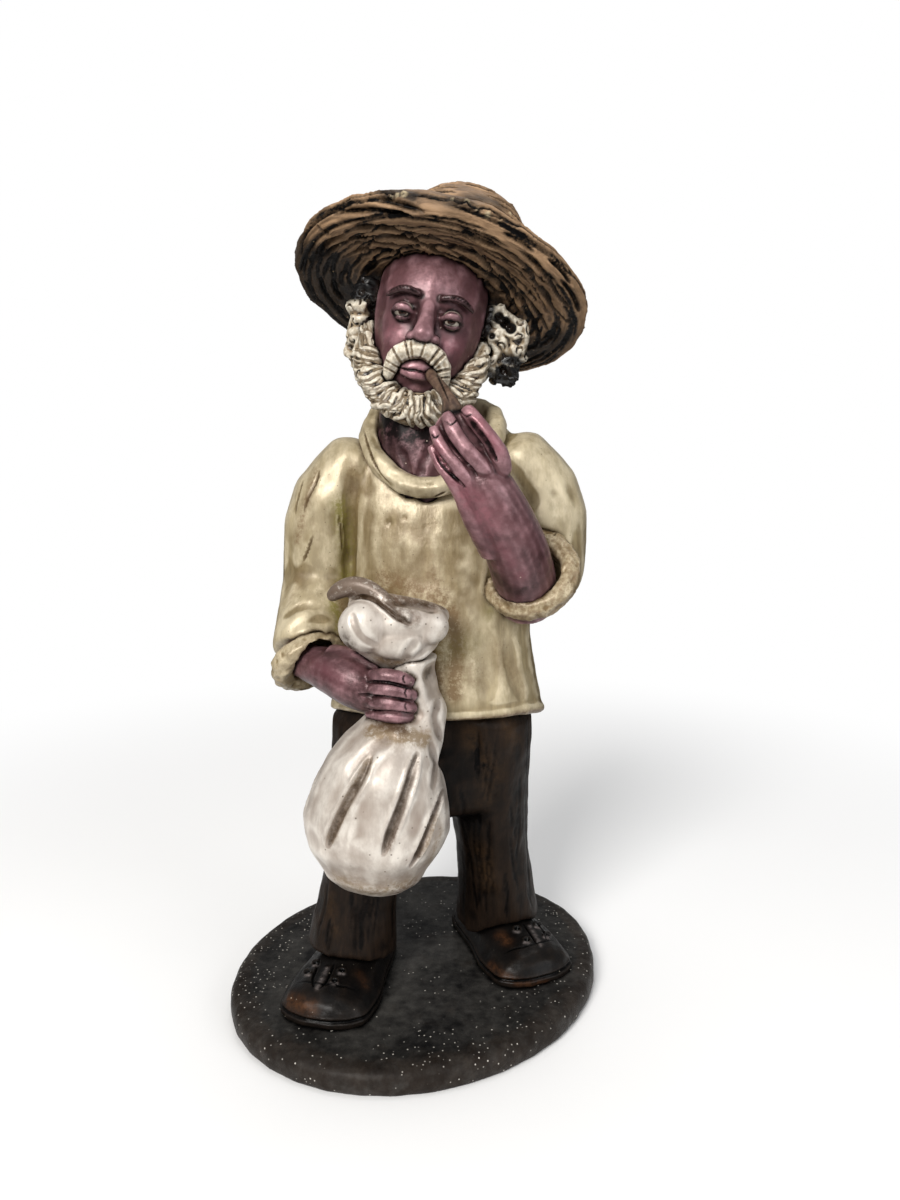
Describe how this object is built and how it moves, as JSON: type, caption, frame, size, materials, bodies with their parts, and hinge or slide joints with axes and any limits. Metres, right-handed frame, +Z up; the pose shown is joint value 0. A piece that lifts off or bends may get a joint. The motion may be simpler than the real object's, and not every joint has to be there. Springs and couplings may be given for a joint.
{
  "type": "terracotta figurine",
  "caption": "Painted clay figurine of an old countryman in a wide hat, standing on an oval slab with a sack and a pipe.",
  "frame": {"origin": "middle of the slab's flat underside", "axes": "+Z up through the figure, -Y the way the figure faces, -X to the figure's own right"},
  "size_m": [0.1428, 0.1392, 0.3021],
  "materials": {
    "slab": "satin",
    "shoes": "gloss",
    "trousers": "satin",
    "shirt": "satin",
    "skin": "satin",
    "eyes": "gloss",
    "hair": "satin",
    "hat": "satin",
    "pipe": "satin",
    "sack": "satin"
  },
  "bodies": {
    "root": {"base_slab": "slab", "right_shoe": "shoes", "left_shoe": "shoes", "right_trouser_leg": "trousers", "left_trouser_leg": "trousers", "trouser_seat": "trousers", "shirt": "shirt", "shirt_collar": "shirt", "right_sleeve": "shirt", "left_sleeve": "shirt", "right_sleeve_cuff": "shirt", "left_sleeve_cuff": "shirt", "neck_and_chest": "skin", "right_arm_and_hand": "skin", "left_arm_and_hand": "skin", "head": "skin", "right_eye": "eyes", "left_eye": "eyes", "moustache": "hair", "beard": "hair", "right_curl_1": "hair", "right_curl_2": "hair", "right_curl_3": "hair", "right_curl_4": "hair", "right_curl_5": "hair", "left_curl_1": "hair", "left_curl_2": "hair", "left_curl_3": "hair", "left_curl_4": "hair", "left_curl_5": "hair", "left_curl_6": "hair", "left_curl_7": "hair", "left_curl_8": "hair", "nape_curl_1": "hair", "nape_curl_2": "hair", "nape_curl_3": "hair", "nape_curl_4": "hair", "nape_curl_5": "hair", "nape_curl_6": "hair", "pipe": "pipe", "hat_brim": "hat", "hat_crown": "hat", "sack_body": "sack", "sack_mouth": "sack"}
  },
  "joints": []
}
